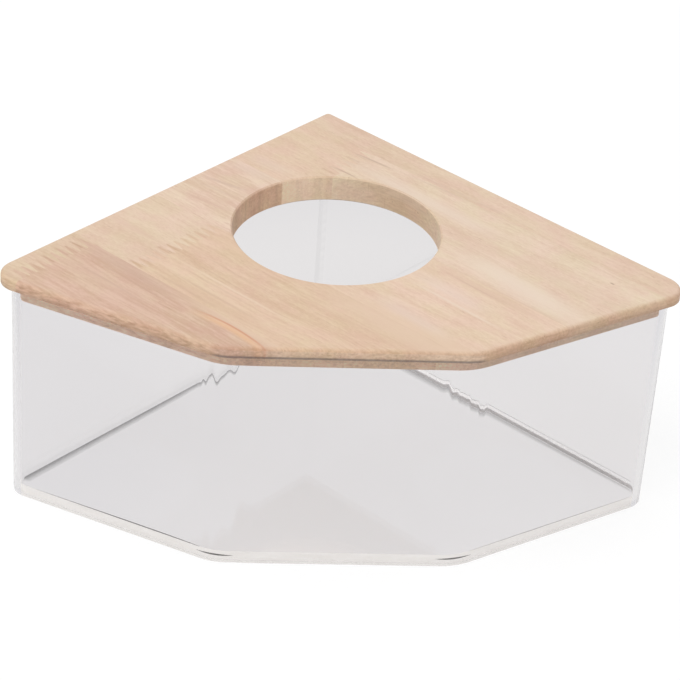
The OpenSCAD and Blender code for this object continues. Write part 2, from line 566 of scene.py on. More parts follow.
def grid_faces(rows: int, columns: int, wrap_rows: bool, wrap_columns: bool) -> Array:
    """Quads over a grid of vertices, numbered row by row.

    Args:
        rows: points along the path.
        columns: points of the profile.
        wrap_rows: whether the last row joins the first.
        wrap_columns: whether the last column joins the first.

    Returns:
        Four vertex numbers for each face; its normal is the path's direction crossed with the profile's.
    """
    i = np.arange(rows if wrap_rows else rows - 1)
    j = np.arange(columns if wrap_columns else columns - 1)
    i, j = np.meshgrid(i, j, indexing="ij")
    next_i = (i + 1) % rows
    next_j = (j + 1) % columns
    corners = [i * columns + j, next_i * columns + j, next_i * columns + next_j, i * columns + next_j]
    return np.stack(corners, axis=-1).reshape(-1, 4)


def make_piece(
    name: str,
    vertices: Array,
    faces: list[list[int]],
    materials: list[bpy.types.Material],
    slots: Optional[Array] = None,
    sharp_angle: float = 28.0,
) -> bpy.types.Object:
    """Make a mesh object at the origin from points in millimetres.

    Args:
        name: name of the piece.
        vertices: points, any shape that ends in three.
        faces: vertex numbers of each face.
        materials: the piece's finishes.
        slots: finish of each face, the first where left out.
        sharp_angle: edges that turn more than this many degrees are shaded sharp.

    Returns:
        The new object.
    """
    mesh = bpy.data.meshes.new(name)
    mesh.from_pydata((vertices.reshape(-1, 3) * MM).tolist(), [], faces)
    for material in materials:
        mesh.materials.append(material)
    if slots is not None:
        mesh.polygons.foreach_set("material_index", slots.astype(np.int32))
    mesh.polygons.foreach_set("use_smooth", np.ones(len(mesh.polygons), dtype=bool))
    mesh.update()
    mesh.set_sharp_from_angle(angle=math.radians(sharp_angle))
    piece = bpy.data.objects.new(name, mesh)
    bpy.context.scene.collection.objects.link(piece)
    return piece


@dataclass(frozen=True)
class BendMark:
    """One upright hollow, or ridge where its depth is below 0, that hot bending leaves outside a bend.

    Its place is counted along the sheet from the middle of the bend.
    """

    place: float
    width: float
    depth: float


@dataclass(frozen=True)
class PaintedShadowKnot:
    """Painted contact shadow under the base plate at one place along its rim: its width, its share and the
    clear gap beside the rim.

    The place is counted from the back corner, to the left above 0 and to the right below 0.
    """

    place: float
    width: float
    share: float
    gap: float


@dataclass
class Tank:
    """Clear tank: one bent wall sheet, a base plate inside it, and the cement of their joint."""

    back_side: float = 270.6
    depth: float = 258.3
    front_w: float = 137.4
    wall_t: float = 4.0
    tip_bend_r: float = 12.0
    front_bend_r: float = 38.0
    glue_line: float = 0.1
    edge_bevel: float = 0.25
    foot_bevel: float = 0.05
    clear: float = 0.05
    touch: float = 0.005
    wall_step: float = 0.5
    wall_arc: int = 48
    wall_rows: int = 13
    base_step: float = 3.0
    base_arc: int = 40
    cement_step: float = 4.0
    cement_arc: int = 32
    mark_lean: float = 0.6
    lean_length: float = 37.0
    # Painted contact shadow under the base plate's rim, knot by knot.
    painted_light: tuple[PaintedShadowKnot, ...] = (
        PaintedShadowKnot(0.0, 2.4, 0.60, 0.7), PaintedShadowKnot(75.0, 2.6, 0.62, 0.7), PaintedShadowKnot(125.0, 5.4, 0.74, 0.7),
        PaintedShadowKnot(250.0, 6.8, 0.80, 0.7), PaintedShadowKnot(-250.0, 3.0, 0.42, 0.6),
        PaintedShadowKnot(-100.0, 5.2, 0.56, 0.15), PaintedShadowKnot(-1.0, 6.4, 0.58, 0.15),
    )
    # Painted glow in the bend at the left tip: its place from the bend's middle, its width and its share.
    tip_glow_place: float = -2.8
    tip_glow_width: float = 4.5
    tip_glow_share: float = 0.35
    strip_height: float = 2.2
    strip_foot: float = 0.4
    thread_t: float = 0.13
    thread_short: float = 95.0
    line_width: float = 0.25
    line_height: float = 0.7
    faint_line: float = 0.4
    line_skew: float = 2.0
    gap_level: float = 3.2
    gap_height: float = 1.1
    gap_t: float = 0.04
    gap_more: float = 2.0
    marks: tuple[tuple[BendMark, ...], ...] = (
        (BendMark(-3.0, 1.4, 0.02), BendMark(3.0, 1.2, 0.02)),
        (BendMark(-10.6, 0.9, 0.01), BendMark(-6.1, 1.3, -0.02), BendMark(-3.4, 2.3, -0.15),
         BendMark(3.7, 3.0, 0.10), BendMark(10.0, 3.95, 0.32), BendMark(12.7, 4.8, 0.13)),
        (BendMark(-12.5, 2.0, 0.08), BendMark(-8.0, 1.2, 0.02), BendMark(-1.0, 1.1, 0.02),
         BendMark(4.5, 1.0, 0.02)),
        (BendMark(-6.5, 1.8, 0.08), BendMark(2.5, 1.2, 0.05)),
    )
    acrylic: AcrylicFinish = AcrylicFinish()
    # Both rims glow with painted light; in front the glow is strong and matt dims the lit colour under it.
    front_rim: RimFinish = RimFinish("sawn_rim_front_painted_glow", (255, 252, 248), (246, 242, 237), 0.45, 0.57)
    back_rim: RimFinish = RimFinish("sawn_rim_back_painted_glow", (226, 222, 221), (206, 202, 201), 1.0, 0.16)
    # The milky strip glows with painted light.
    veil: CementFinish = CementFinish("clear_cement_painted_glow", (250, 248, 247), 0.3, 0.3, 0.45)
    # Dark cement in the front joints, also used as painted shade in the gaps of the front bends.
    dark_cement_and_gap_shade: CementFinish = CementFinish("dark_cement_and_painted_gap_shade", (120, 116, 114), 0.75, 0.5)

    def __post_init__(self) -> None:
        """Take the place and the heights from the frame."""
        wall_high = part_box("wall_sheet")[1]
        self.back_y = wall_high.y / MM
        self.wall_h = wall_high.z / MM
        self.base_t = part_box("base_plate")[1].z / MM
        self.glass = self.acrylic.build()
        self.joined = self.acrylic.joined()
        # Painted glow in the bend at the left tip: clear sheet mixed with a pale glowing tone.
        self.tip_glow = PaintedLightFinish(self.acrylic, "tip_painted_glow", (250, 250, 251), glow=0.6, patchiness=0.0)

    def outline(self) -> PlanOutline:
        """Outer plan outline of the wall: a right-angled back and three facets in front.

        Returns:
            The outline.
        """
        reach = self.back_side * math.sqrt(0.5)
        half = self.front_w / 2
        left = [[-reach, -reach], [-half, -self.depth]]
        right = [[half, -self.depth], [reach, -reach]]
        plan = np.array([[0.0, 0.0], *left, *right])
        radii = np.array([0, self.tip_bend_r, self.front_bend_r, self.front_bend_r, self.tip_bend_r])
        return PlanOutline(plan + [0, self.back_y], radii.astype(float))

    def ripple(self, path: PlanPath, level: Array) -> Array:
        """Depth of the wavy marks that hot bending leaves on the outside of the bends.

        Each mark is a bell curve along the sheet, depth * exp(-(distance / width) ** 2), whose
        middle leans a little with height.

        Args:
            path: sampled outer outline.
            level: heights of the profile points.

        Returns:
            Depth below the sheet's face, path points by heights.
        """
        along = path.along()[:, None]
        lean = self.mark_lean * np.sin(level[None, :] / self.lean_length)
        depth = np.zeros((len(path.points), len(level)))
        for (start, end), marks in zip(path.bends, self.marks):
            for mark in marks:
                away = along - (start + end) / 2 - mark.place - lean
                depth += mark.depth * np.exp(-(away / mark.width) ** 2)
        return depth

    def wall(self) -> bpy.types.Object:
        """Wall sheet: a rectangle with eased edges carried round the outline and cemented at the back.

        The foot of its inner face at the back left belongs to the clear joint with the base.

        Returns:
            The piece, which stands for the wall's node.
        """
        path = self.outline().path(self.wall_step, self.wall_arc, self.wall_t + 1)
        ease = self.edge_bevel
        foot = self.foot_bevel
        count = self.wall_rows
        rows = np.concatenate([[foot], np.linspace(self.base_t, self.wall_h - ease, count - 1)])
        inset = np.concatenate([np.zeros(count), [ease, self.wall_t - ease], np.full(count, self.wall_t),
                                [self.wall_t - foot, foot]])
        level = np.concatenate([rows, [self.wall_h] * 2, rows[::-1], [0.0, 0.0]])
        marks = self.ripple(path, rows)
        depth = np.broadcast_to(inset, (len(path.points), len(inset))).copy()
        depth[:, :count] += marks
        depth[:, count] += marks[:, -1]
        depth[:, -1] += marks[:, 0]
        vertices = path.sweep(depth, level)[:-1]
        faces = grid_faces(len(vertices), len(inset), True, True).tolist()
        tip = path.along()[:-1] - np.mean(path.bends[0])
        slots = np.zeros((len(vertices), len(inset)))
        slots[self.sides(path) == 0, 2 * count] = 1
        # Faces in the left tip's bend take the painted glow.
        slots[np.abs(tip - self.tip_glow_place) < 2 * self.tip_glow_width, :count - 1] = 2
        materials = [self.glass, self.joined, self.tip_glow.build()]
        piece = make_piece("tank_wall", vertices, faces, materials, slots.ravel())
        # Share of the painted glow at the left tip.
        tip_glow = self.tip_glow_share * np.exp(-((tip - self.tip_glow_place) / self.tip_glow_width) ** 2)
        self.mark(piece, np.repeat(tip_glow[:, None], len(inset), axis=1))
        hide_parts("wall_sheet")
        return piece

    @staticmethod
    def mark(piece: bpy.types.Object, share: Array) -> None:
        """Store the share of a painted shadow or glow at each vertex of a piece."""
        painted_light = piece.data.attributes.new(PaintedLightFinish.attribute, "FLOAT", "POINT")
        painted_light.data.foreach_set("value", share.ravel())

    @staticmethod
    def sides(path: PlanPath) -> Array:
        """Side of each span of a path by its inward vector: 0 back left, 1 front, 2 back right."""
        inward = path.inward[:-1] + path.inward[1:]
        return np.where(inward[:, 1] > 0, 1, np.where(inward[:, 0] > 0, 0, 2))

    def base(self) -> bpy.types.Object:
        """Base plate: a rim with eased edges carried round the inner outline, closed by two flat faces.

        A ring of the underside along the rim carries the share of a painted contact shadow, full near the
        back rims and none at the inner edge of the ring; its width and strength run evenly from knot to knot
        along the rim and fade round the tips. The rim is frosted and bright with a painted glow in front,
        clear at the back left, where its top touches the wall, and frosted with a weaker painted glow at the
        back right.

        Returns:
            The piece, which stands for the base's node.
        """
        reach = max(knot.width for knot in self.painted_light) + 1
        outline = self.outline().parallel(self.wall_t + self.glue_line)
        path = outline.path(self.base_step, self.base_arc, reach)
        along = path.along()
        places = [knot.place % along[-1] for knot in self.painted_light]
        width = np.interp(along, places, [knot.width for knot in self.painted_light])[:, None]
        start = np.interp(along, places, [knot.gap for knot in self.painted_light])[:, None]
        share = np.interp(along, places, [knot.share for knot in self.painted_light])
        ease = self.edge_bevel
        foot = self.foot_bevel
        inset = np.concatenate([width, start, start - foot, width * 0 + [foot, 0.0, 0.0, ease]], axis=1)
        inset[:-1, 5:][self.sides(path) == 0] = self.touch - self.glue_line
        level = np.array([0.0, 0.0, 0.0, 0.0, foot, self.base_t - ease, self.base_t])
        vertices = path.sweep(inset, level)[:-1]
        rows, columns = vertices.shape[:2]
        rim = grid_faces(rows, columns, True, False)
        bottom = np.arange(rows) * columns
        caps = [(bottom + columns - 1).tolist(), bottom[::-1].tolist()]
        slots = np.repeat(self.sides(path)[:, None], columns - 1, axis=1)
        slots[:, :3] = 3
        # The front and back rims glow with painted light.
        rims = [self.joined, self.front_rim.build(), self.back_rim.build()]
        # The finish after the rims paints the contact shadow under the back rims.
        materials = rims + [PaintedLightFinish(self.acrylic).build(), self.glass]
        finishes = np.concatenate([slots.ravel(), [4, 4]])
        piece = make_piece("tank_base", vertices, rim.tolist() + caps, materials, finishes)
        # Share of the painted contact shadow under the back rims.
        fade = np.clip(-path.inward[:, 1] / math.sqrt(0.5), 0, 1) ** 2
        painted_light = np.zeros((rows, columns))
        painted_light[:, 1] = (share * fade)[:-1]
        self.mark(piece, painted_light)
        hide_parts("base_plate")
        return piece

    def rod(self, start: float, end: float, inset: Array, level: Array, sink: float) -> tuple[Array, Array]:
        """Carry a four-point section along the inner outline and close both its ends.

        Args:
            start: where it starts along the outline.
            end: where it ends.
            inset: inset of the section's points, one row for each step along the way.
            level: heights of the points, in the same form.
            sink: distance of the outline inside the wall's outer face.

        Returns:
            Vertices and faces.
        """
        inner = self.outline().parallel(sink).path(self.cement_step, self.cement_arc)
        part = inner.stretch(start, end, (end - start) / len(level))
        faces = grid_faces(len(level), 4, False, True)
        last = 4 * len(level) - 1
        caps = np.array([[0, 1, 2, 3], [last, last - 1, last - 2, last - 3]])
        return part.sweep(inset, level).reshape(-1, 3), np.concatenate([faces, caps])

    def bead(
        self, start: float, end: float, width: float, height: float, skew: float = 1.0
    ) -> tuple[Array, Array]:
        """Hollow fillet in the corner of wall and base, which runs out to nothing at both ends.

        Its section grows as the square root of a sine from one end to the other, whose argument is
        the share of the way to the power of the skew.

        Args:
            start: where it starts along the inner outline.
            end: where it ends.
            width: foot on the base where the bead is thickest.
            height: foot on the wall there.
            skew: above 1, the thickest place lies nearer to the end.

        Returns:
            Vertices and faces.
        """
        way = np.linspace(0.03, 0.99, max(int((end - start) / 2), 4))[:, None]
        grown = np.sqrt(np.sin(np.pi * way ** skew))
        inset = grown * [0.0, 0.0, 0.4 * width, width]
        level = grown * [0.0, height, 0.4 * height, 0.0] + self.base_t + self.clear
        return self.rod(start, end, inset, level, self.wall_t + self.clear)

    def thread(self, start: float, end: float) -> tuple[Array, Array]:
        """Thin line at the upper edge of the milky strip: a square section on the wall.

        Args:
            start: where it starts along the inner outline.
            end: where it ends.

        Returns:
            Vertices and faces.
        """
        half = np.full((max(int((end - start) / 4), 4), 1), self.thread_t / 2)
        inset = half * [0.0, 0.0, 1.0, 1.0]
        level = half * [-1.0, 1.0, 1.0, -1.0] + self.base_t + self.clear + self.strip_height + self.thread_t
        return self.rod(start, end, inset, level, self.wall_t + self.clear)

    def gap(self, start: float, end: float) -> tuple[Array, Array]:
        """Painted shade: a dark crescent where the base stands off the wall, as a thin blade inside the glue
        line.

        Its half height follows half a sine from one end to the other.

        Args:
            start: where it starts along the inner outline.
            end: where it ends.

        Returns:
            Vertices and faces.
        """
        half = np.sin(np.linspace(0.02, np.pi - 0.02, int(end - start)))[:, None] * self.gap_height / 2
        near = (self.glue_line - self.gap_t) / 2
        far = near + self.gap_t
        inset = half * 0 + [near, near, far, far]
        level = half * [-1.0, 1.0, 1.0, -1.0] + self.gap_level
        return self.rod(start - self.gap_more, end + self.gap_more, inset, level, self.wall_t)

    @staticmethod
    def joined_parts(name: str, parts: list[tuple[Array, Array]], finish: CementFinish) -> bpy.types.Object:
        """Join beads or blades to one piece.

        Args:
            name: name of the piece.
            parts: vertices and faces of each.
            finish: their cement.

        Returns:
            The piece.
        """
        starts = np.cumsum([0] + [len(vertices) for vertices, _ in parts[:-1]])
        faces = np.concatenate([faces + start for start, (_, faces) in zip(starts, parts)])
        points = np.concatenate([vertices for vertices, _ in parts])
        return make_piece(name, points, faces.tolist(), [finish.build()])

    def cement(self) -> list[bpy.types.Object]:
        """Milky strip above the back right joint, with a painted glow, dark cement lines in the front
        joints, and painted shade in the gaps of the front bends.

        Returns:
            The two pieces.
        """
        inner = self.outline().parallel(self.wall_t + self.clear).path(self.cement_step, self.cement_arc)
        left_tip, left, right, right_tip = inner.bends
        strip = self.bead(right_tip[1], inner.along()[-1], self.strip_foot, self.strip_height)
        faint = self.faint_line * self.line_height
        lines = [
            self.bead(left_tip[1], left[0], self.line_width, self.line_height, self.line_skew),
            self.bead(right[1], right_tip[0], self.line_width, faint),
            # Painted shade in the gaps of the front bends.
            self.gap(*left),
            self.gap(*right),
            self.thread(right_tip[1], inner.along()[-1] - self.thread_short),
        ]
        return [
            # The milky strip, with its painted glow.
            self.joined_parts("tank_cement", [strip], self.veil),
            self.joined_parts("tank_seam", lines, self.dark_cement_and_gap_shade),
        ]

    def build(self) -> None:
        """Build every piece of the tank and seat it on the tank's body."""
        for piece in [self.wall(), self.base(), *self.cement()]:
            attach(piece, Body.TANK.value)
            LOG.info("%s: %d faces", piece.name, len(piece.data.polygons))


@dataclass(frozen=True)
class Streak:
    """A stained streak along the grain: where it starts and ends on the stave plan, and its colour.

    The bow pushes its middle sideways, as a parabola between the ends.
    """

    start: tuple[float, float]
    end: tuple[float, float]
    half_width: float
    strength: float
    stain: Rgb8
    bow: float = 0.0


@dataclass(frozen=True)
class Block:
    """One block of the lid: its node, tone, liveliness of grain, streaks, and end grain in the hole."""

    node: str
    slot: Slot
    tone: Rgb8
    liveliness: float = 1.0
    streaks: tuple[Streak, ...] = ()
    hole_end: Point = (1.22, 1.25, 1.23)


@dataclass(frozen=True)
class StavePlan:
    """Frame of the staves: u from the lid's back corner along the back left edge, v along the back right."""

    back_corner_y: float
    joints_u: tuple[float, ...] = (20.0, 85.0, 150.0, 215.0)
    stave_w: float = 65.0
    fingers: int = 12
    finger_l: float = 10.0
    finger_rows: tuple[tuple[float, float], ...] = ((20.0, 52.0), (150.0, 51.0), (215.0, 14.0))
    hole: tuple[float, float] = (101.1, 99.0)
    hole_r: float = 60.0
    rebate_z: float = 140.5
    grain_way: Point = (0.7071, -0.7071, 0.0)

    def coordinates(self, graph: Graph) -> Signal:
        """Object coordinates turned into (u, v, z) in millimetres."""
        shift = self.back_corner_y * math.sqrt(0.5)
        return graph.place((1 / MM,) * 3, math.radians(135.0), (shift, shift, 0.0))


@dataclass(frozen=True)
class Grain:
    """One layer of noise in the wood: features per millimetre along u, v and z, its shift and its detail."""

    stretch: Point
    shift: tuple[float, float]
    detail: float

    def at(self, graph: Graph, place: Signal, seed: float) -> Signal:
        """Noise of this layer at stave coordinates, shifted across the grain by the seed."""
        return graph.noise(place, self.stretch, (seed, *self.shift), self.detail)


@dataclass(frozen=True)
class Mottle:
    """A layer of noise that tints wood from one colour to another."""

    grain: Grain
    span: float
    low: Colour
    high: Colour

    def tint(self, graph: Graph, raw: Signal, seed: float) -> Signal:
        """Find the tint: low where the noise is under minus the span, high where it is over the span.

        Args:
            graph: the material's graph.
            raw: stave coordinates.
            seed: shift of the noise across the grain.

        Returns:
            The tint that the wood's colour is multiplied by.
        """
        noise = self.grain.at(graph, raw, seed)
        return graph.mix(graph.step(noise, -self.span, self.span), self.low, self.high)


@dataclass(frozen=True)
class WoodFinish:
    """Sanded pale hardwood: long streaks, short pores, and soft joints between the blocks.

    The lip's glow is painted light that stands for the light the clear walls pipe to it, and the lip
    is painted paler too; the flange's front is painted lighter, with a painted shadow line along its
    lower edge and painted shade at its foot.
    """

    plan: StavePlan
    roughness: float = 0.52
    pore_colour: Rgb8 = (150, 112, 84)
    pale: Point = (1.08, 1.11, 1.13)
    deep: Point = (0.91, 0.86, 0.82)
    seed_step: float = 37.0
    wander_reach: float = 14.0
    broad: Grain = Grain((0.045, 0.004, 0.05), (2.0, 1.0), 2.0)
    growth: Grain = Grain((0.16, 0.012, 0.16), (5.0, 3.0), 3.0)
    fibre: Grain = Grain((0.6, 0.045, 0.6), (8.0, 6.0), 3.0)
    mottle: Grain = Grain((0.08, 0.05, 0.08), (9.0, 2.0), 3.0)
    speckle: Grain = Grain((1.2, 0.40, 1.2), (6.0, 9.0), 2.0)
    dash: Grain = Grain((1.7, 0.12, 1.7), (11.0, 7.0), 1.0)
    saw_grain: Grain = Grain((0.9, 0.9, 0.05), (4.0, 1.0), 2.0)
    speck_grain: Grain = Grain((0.8, 0.8, 0.6), (7.0, 3.0), 1.0)
    hue: Mottle = Mottle(
        Grain((0.08, 0.05, 0.08), (3.0, 8.0), 3.0), 0.22,
        (1.007, 0.972, 0.993, 1.0), (0.993, 1.021, 0.972, 1.0),
    )
    fleck: Mottle = Mottle(
        Grain((0.7, 0.06, 0.7), (1.0, 5.0), 4.0), 0.22, (0.80, 0.74, 0.68, 1.0), (1.14, 1.13, 1.11, 1.0)
    )
    layer: Mottle = Mottle(
        Grain((0.05, 0.05, 0.8), (3.0, 9.0), 2.0), 0.2, (0.92, 0.90, 0.88, 1.0), (1.07, 1.08, 1.08, 1.0)
    )
    band: Mottle = Mottle(
        Grain((0.3, 0.3, 0.02), (2.0, 6.0), 2.0), 0.2, (0.92, 0.905, 0.89, 1.0), (1.07, 1.075, 1.08, 1.0)
    )
    saw_mark: Colour = (0.80, 0.74, 0.68, 1.0)
    speck: Colour = (0.5, 0.4, 0.33, 1.0)
    joint_dark: Colour = (0.86, 0.80, 0.76, 1.0)
    joint_pale: Colour = (1.05, 1.08, 1.10, 1.0)
    side_stain: Colour = (0.95, 0.93, 0.91, 1.0)
    end_stain: Colour = (0.88, 0.79, 0.73, 1.0)
    hole_side: Colour = (0.965, 0.945, 0.905, 1.0)
    front_painted_light: Colour = (1.05, 1.13, 1.22, 1.0)
    # Painted light and shade on the upright faces: shade at the flange's foot, a lighter front, a shadow
    # line under the flange in front, a lighter lip at its sides and ends, and the lip's glow.
    foot_shade: Colour = (0.84, 0.83, 0.83, 1.0)
    front_painted_shadow_line: Colour = (0.50, 0.54, 0.60, 1.0)
    lip_painted_light_side: Colour = (1.58, 1.67, 1.70, 1.0)
    lip_painted_light_end: Colour = (1.20, 1.24, 1.24, 1.0)
    lip_painted_glow: float = 0.13
    ior: float = 1.45

    def build(self, block: Block, number: int) -> bpy.types.Material:
        """Wood of one block.

        Grain runs along v. Noise stretched along v gives broad bands, growth streaks and fibres;
        noise over a threshold gives the pores, which turn into dots on end grain by themselves.

        Args:
            block: the block's tone and streaks.
            number: shifts the noise, so that no two blocks match.

        Returns:
            The material.
        """
        material, graph = new_material("wood_" + block.node)
        raw = self.plan.coordinates(graph)
        seed = self.seed_step * number
        wander = graph.noise(raw, (0.012, 0.006, 0.02), (seed, 1.3 * seed, 4.0), 2.0)
        drift = graph.node("ShaderNodeCombineXYZ", {}, {0: wander * self.wander_reach, 1: 0.0, 2: 0.0})
        place = graph.node("ShaderNodeVectorMath", {"operation": "ADD"}, {0: raw, 1: drift})
        broad = self.broad.at(graph, place, seed)
        growth = self.growth.at(graph, place, seed)
        fibre = self.fibre.at(graph, place, seed)
        mottle = self.mottle.at(graph, place, seed)
        speckle = self.speckle.at(graph, place, seed)
        depth = (broad * 0.7 + growth * 0.7 + fibre * 1.0) * block.liveliness + mottle * 0.5 + speckle * 0.9
        base = linear(block.tone)
        colour = graph.mix(graph.step(depth, -0.6, 0.6), shaded(base, self.pale), shaded(base, self.deep))
        colour = graph.mix(1.0, colour, self.hue.tint(graph, raw, seed), "MULTIPLY")
        pores = self.pores(graph, place, growth, seed)
        colour = graph.mix(pores * 0.3, colour, linear(self.pore_colour))
        for streak in block.streaks:
            colour = self.stain(graph, colour, raw, growth, streak)
        colour = self.joints(graph, colour, raw, mottle)
        colour, lip = self.edges(graph, colour, raw, block, seed)
        roughness = fibre * 0.12 + pores * 0.15 + self.roughness
        height = fibre * 0.5 + growth * 0.3 - pores
        bump = graph.node("ShaderNodeBump", {}, {"Strength": 0.35, "Distance": 0.15 * MM, "Height": height})
        graph.surface(graph.principled({
            "Base Color": colour,
            "Roughness": roughness,
            "Normal": bump,
            "IOR": self.ior,
            # Painted glow on the lip.
            "Emission Color": graph.mix(lip, (0.0, 0.0, 0.0, 1.0), colour),
            "Emission Strength": self.lip_painted_glow,
        }))
        return material

    @staticmethod
    def split(vector: Signal) -> tuple[Signal, Signal, Signal]:
        """The u, v and z parts of a stave vector."""
        parts = vector.graph.node("ShaderNodeSeparateXYZ", {}, {0: vector})
        return parts, parts.other(1), parts.other(2)

    def pores(self, graph: Graph, place: Signal, growth: Signal, seed: float) -> Signal:
        """Short dark dashes along the grain, more of them where growth is slow."""
        dash = self.dash.at(graph, place, seed)
        return graph.step(dash + growth * 0.25, 0.19, 0.30)

    def stain(self, graph: Graph, colour: Signal, raw: Signal, growth: Signal, streak: Streak) -> Signal:
        """Lay one streak over the colour.

        With t from 0 to 1 along the streak, its middle is at u0 + (u1 - u0) * t + bow * 4 * t * (1 - t),
        shaken a little by the growth noise. It fades over its half width and towards both
        ends, and leaves out the lip.

        Args:
            graph: the material's graph.
            colour: colour so far.
            raw: stave coordinates.
            growth: noise of the growth streaks.
            streak: the streak.

        Returns:
            The colour with the streak on it.
        """
        u, v, z = self.split(raw)
        (u0, v0), (u1, v1) = streak.start, streak.end
        t = (v - v0) / (v1 - v0)
        middle = t * (u1 - u0) + t * (1 - t) * (4 * streak.bow) + growth * (0.8 * streak.half_width) + u0
        across = 1 - graph.step(abs(u - middle), 0.0, streak.half_width)
        above = graph.step(z, self.plan.rebate_z - 0.5, self.plan.rebate_z + 0.5)
        length = graph.band(t, 0.2, 0.8, 0.2) * above
        return graph.mix(across * length * streak.strength, colour, linear(streak.stain))

    def joints(self, graph: Graph, colour: Signal, raw: Signal, mottle: Signal) -> Signal:
        """Soft, broken glue lines between the staves and strokes of the fingers.

        A finger's stroke is a triangle wave across the fingers, 1 in the middle of each finger of the
        front block, inside its row; white noise makes some fingers darker than others.

        Args:
            graph: the material's graph.
            colour: colour so far.
            raw: stave coordinates.
            mottle: noise that breaks the lines.

        Returns:
            The colour with lines and strokes on it.
        """
        u, v, _ = self.split(raw)
        dark = None
        for joint in self.plan.joints_u:
            near = 1 - graph.step(abs(u - joint), 0.1, 0.8)
            dark = near if dark is None else graph.math("MAXIMUM", dark, near)
        dark = dark * graph.step(mottle, -0.1, 0.25) * 0.3
        pale = None
        pitch = self.plan.stave_w / self.plan.fingers
        for first, row in self.plan.finger_rows:
            count = (u - first) / pitch
            finger = 1 - abs((count % 1.0) * 2 - 1)
            chance = graph.node("ShaderNodeTexWhiteNoise", {"noise_dimensions": "1D"},
                                {"W": graph.math("FLOOR", count) + row}, "Value")
            shifted = v + (chance - 0.5) * 4
            within = graph.band(shifted, row - self.plan.finger_l / 2, row + self.plan.finger_l / 2, 1.2)
            within = within * graph.band(u, first, first + self.plan.stave_w, 0.4)
            dark = graph.math("MAXIMUM", dark, graph.step(finger, 0.45, 1.0) * within * chance)
            light = (1 - graph.step(finger, 0.0, 0.4)) * within
            pale = light if pale is None else graph.math("MAXIMUM", pale, light)
        colour = graph.mix(dark, colour, self.joint_dark, "MULTIPLY")
        return graph.mix(pale * 0.35, colour, self.joint_pale, "MULTIPLY")

    def edges(
        self, graph: Graph, colour: Signal, raw: Signal, block: Block, seed: float
    ) -> tuple[Signal, Signal]:
        """Dress the upright faces: end grain, flecks, saw marks, specks, a painted lightening of the lip,
        painted shade at the flange's foot, a painted lightening of its front and a painted shadow line
        above the lip.

        End grain grows with the square of the normal's share along the grain, and everything here with
        one less the square of its upright share. The hole's wall is told apart by its distance from the
        hole's middle, and the lip and the line above it by height.

        Args:
            graph: the material's graph.
            colour: colour so far.
            raw: stave coordinates.
            block: the block.
            seed: shift of the noise.

        Returns:
            The colour with its edges dressed, and the share of the lip.
        """
        normal = graph.node("ShaderNodeNewGeometry", output="Normal")
        along = graph.node(
            "ShaderNodeVectorMath", {"operation": "DOT_PRODUCT"}, {0: normal, 1: self.plan.grain_way}, 1
        )
        _, facing, upright = self.split(normal)
        side = 1 - upright * upright
        end = along * along
        u, v, z = self.split(raw)
        away = graph.math("SQRT", graph.math("POWER", u - self.plan.hole[0], 2.0)
                          + graph.math("POWER", v - self.plan.hole[1], 2.0))
        outer = graph.step(away, self.plan.hole_r + 0.5, self.plan.hole_r + 2.5)
        inner = side * (1 - outer)
        colour = graph.mix(side, colour, self.side_stain, "MULTIPLY")
        colour = graph.mix(end, colour, self.end_stain, "MULTIPLY")
        in_hole = graph.mix(end, self.hole_side, (*block.hole_end, 1.0))
        colour = graph.mix(inner, colour, in_hole, "MULTIPLY")
        flecked = side * (outer * 0.6 + 0.4) * (1 - end * 0.65)
        masks = ((flecked, self.fleck), (side * end * outer, self.layer), (inner * end, self.band))
        for mask, mottle in masks:
            colour = graph.mix(mask, colour, mottle.tint(graph, raw, seed), "MULTIPLY")
        marks = self.saw_grain.at(graph, raw, seed)
        colour = graph.mix(graph.step(marks, 0.05, 0.35) * side * 0.5, colour, self.saw_mark, "MULTIPLY")
        specks = self.speck_grain.at(graph, raw, seed)
        colour = graph.mix(graph.step(specks, 0.24, 0.30) * side * 0.7, colour, self.speck, "MULTIPLY")
        # Painted light: the lip, shaded under the flange, is made paler.
        lip = (1 - graph.step(z, self.plan.rebate_z - 0.4, self.plan.rebate_z - 0.1)) * side * outer
        colour = graph.mix(lip, colour, graph.mix(end, self.lip_painted_light_side, self.lip_painted_light_end), "MULTIPLY")
        flange = side * outer - lip
        foot = flange * (1 - graph.step(z, self.plan.rebate_z + 0.8, self.plan.rebate_z + 3.2))
        colour = graph.mix(foot, colour, self.foot_shade, "MULTIPLY")
        # Painted light: the flange's faces towards the front are made lighter.
        front = flange * graph.step(0 - facing, 0.88, 0.98)
        colour = graph.mix(front, colour, self.front_painted_light, "MULTIPLY")
        # Painted shadow line along the flange's lower edge in front.
        line = front * graph.band(z, self.plan.rebate_z - 0.1, self.plan.rebate_z + 1.3, 0.3)
        return graph.mix(line, colour, self.front_painted_shadow_line, "MULTIPLY"), lip


